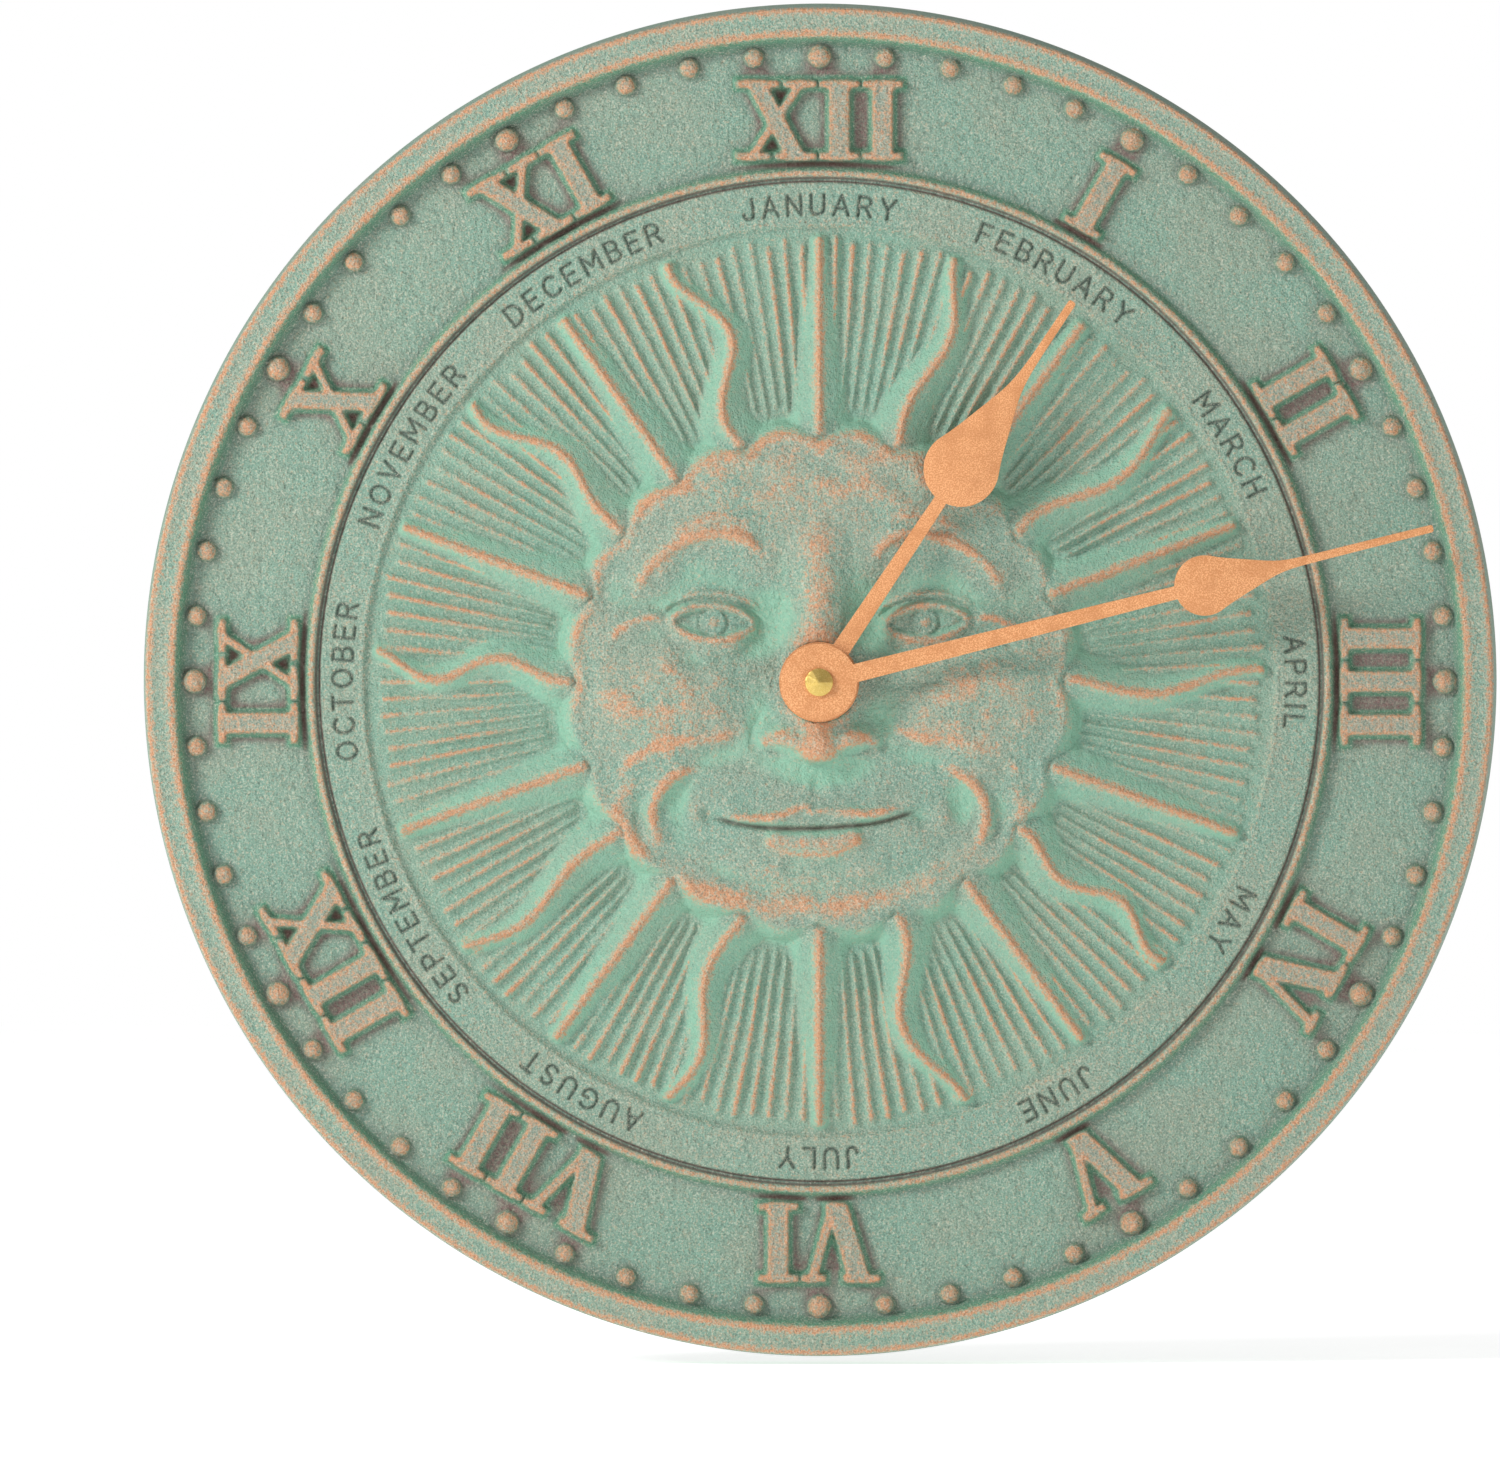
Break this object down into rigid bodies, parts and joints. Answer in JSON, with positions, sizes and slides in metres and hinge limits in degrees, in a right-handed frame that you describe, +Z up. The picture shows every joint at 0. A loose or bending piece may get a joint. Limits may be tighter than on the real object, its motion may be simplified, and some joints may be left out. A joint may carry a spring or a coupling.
{
  "type": "garden wall clock in sundial style",
  "caption": "Round cast garden wall clock in sundial style with a sun face, Roman numerals, month ring, two spade hands, a quartz movement and a keyhole hanger.",
  "frame": {"origin": "centre of the dial on the wall plane, where the rim's back edge rests on the wall", "axes": "+Z up towards 12, +X to the viewer's right, +Y into the wall; the dial faces -Y"},
  "size_m": [0.3048, 0.036, 0.3048],
  "materials": {
    "verdigris_copper_cast": "antique verdigris over copper, matte, finely pebbled cast surface",
    "hand_copper": "matte copper-coloured sheet, finely speckled",
    "brass": "turned and lightly polished brass",
    "zinc_steel": "zinc plated steel, satin",
    "black_plastic": "moulded black plastic, fine spark texture",
    "white_plastic": "moulded natural acetal, slightly translucent white",
    "black_rubber": "black rubber, dull",
    "battery_label": "plain printed sleeve over a steel can, no lettering",
    "spring_steel": "nickel plated spring strip, bright",
    "circuit_board": "green solder mask with copper tracks",
    "black_epoxy": "glossy black epoxy blob",
    "copper_wire": "enamelled copper winding wire",
    "soft_iron": "stamped soft iron, satin grey",
    "ferrite": "dark sintered magnet, matte"
  },
  "bodies": {
    "dial": {"dial_casting": "verdigris_copper_cast", "hanger_plate": "zinc_steel", "hanger_screws": "zinc_steel", "cover_gasket": "black_rubber", "movement_front_case": "black_plastic", "movement_rear_case": "black_plastic", "train_plate": "white_plastic", "threaded_bush": "brass", "seal_washer": "black_rubber", "front_washer": "brass", "hex_nut": "brass", "stator_core": "soft_iron", "coil_bobbin": "white_plastic", "coil_winding": "copper_wire", "circuit_board": "circuit_board", "control_chip": "black_epoxy", "quartz_crystal": "spring_steel", "battery": "battery_label", "battery_contact_positive": "spring_steel", "battery_contact_negative": "spring_steel"},
    "minute": {"minute_arbor": "brass", "clutch_spring": "spring_steel", "minute_hand_collet": "brass", "minute_hand": "hand_copper", "hand_nut": "brass"},
    "hour": {"hour_wheel": "white_plastic", "hour_hand_collet": "brass", "hour_hand": "hand_copper"},
    "motion": {"motion_wheel": "white_plastic"},
    "setting": {"setting_arbor": "black_plastic", "setting_knob": "black_plastic"},
    "seconds": {"seconds_wheel": "white_plastic"},
    "intermediate": {"intermediate_wheel": "white_plastic"},
    "rotor": {"rotor": "white_plastic", "rotor_magnet": "ferrite"},
    "third": {"third_wheel": "white_plastic"},
    "centre": {"centre_wheel": "white_plastic"},
    "cover": {"movement_cover": "black_plastic"}
  },
  "joints": [
    {"name": "minute_hand_turn", "type": "hinge", "parent": "dial", "child": "minute", "pos_m": [0, 0, 0], "axis": [0, 1, 0], "continuous": true},
    {"name": "hour_hand_turn", "type": "hinge", "parent": "dial", "child": "hour", "pos_m": [0, 0, 0], "axis": [0, 1, 0], "continuous": true},
    {"name": "motion_wheel_turn", "type": "hinge", "parent": "dial", "child": "motion", "pos_m": [-0.011, 0, 0.0048], "axis": [0, 1, 0], "continuous": true},
    {"name": "setting_knob_turn", "type": "hinge", "parent": "dial", "child": "setting", "pos_m": [-0.01753, 0, 0.01487], "axis": [0, 1, 0], "continuous": true},
    {"name": "seconds_wheel_turn", "type": "hinge", "parent": "dial", "child": "seconds", "pos_m": [0.01256, 0, 0.00749], "axis": [0, 1, 0], "continuous": true},
    {"name": "intermediate_wheel_turn", "type": "hinge", "parent": "dial", "child": "intermediate", "pos_m": [0.0152, 0, 0.01206], "axis": [0, 1, 0], "continuous": true},
    {"name": "rotor_turn", "type": "hinge", "parent": "dial", "child": "rotor", "pos_m": [0.01908, 0, 0.00982], "axis": [0, 1, 0], "continuous": true},
    {"name": "third_wheel_turn", "type": "hinge", "parent": "dial", "child": "third", "pos_m": [0.00579, 0, 0.00689], "axis": [0, 1, 0], "continuous": true},
    {"name": "centre_wheel_turn", "type": "hinge", "parent": "dial", "child": "centre", "pos_m": [0, 0, 0], "axis": [0, 1, 0], "continuous": true},
    {"name": "cover_pull", "type": "slide", "parent": "dial", "child": "cover", "axis": [0, 1, 0], "range_m": [0, 0.03]}
  ],
  "couplings": [
    {"joint": "hour_hand_turn", "follows": "minute_hand_turn", "ratio": 0.083333},
    {"joint": "motion_wheel_turn", "follows": "minute_hand_turn", "ratio": -0.33333},
    {"joint": "setting_knob_turn", "follows": "minute_hand_turn", "ratio": 1},
    {"joint": "intermediate_wheel_turn", "follows": "seconds_wheel_turn", "ratio": -5},
    {"joint": "rotor_turn", "follows": "seconds_wheel_turn", "ratio": 30},
    {"joint": "third_wheel_turn", "follows": "seconds_wheel_turn", "ratio": -0.13333},
    {"joint": "centre_wheel_turn", "follows": "seconds_wheel_turn", "ratio": 0.016667}
  ]
}
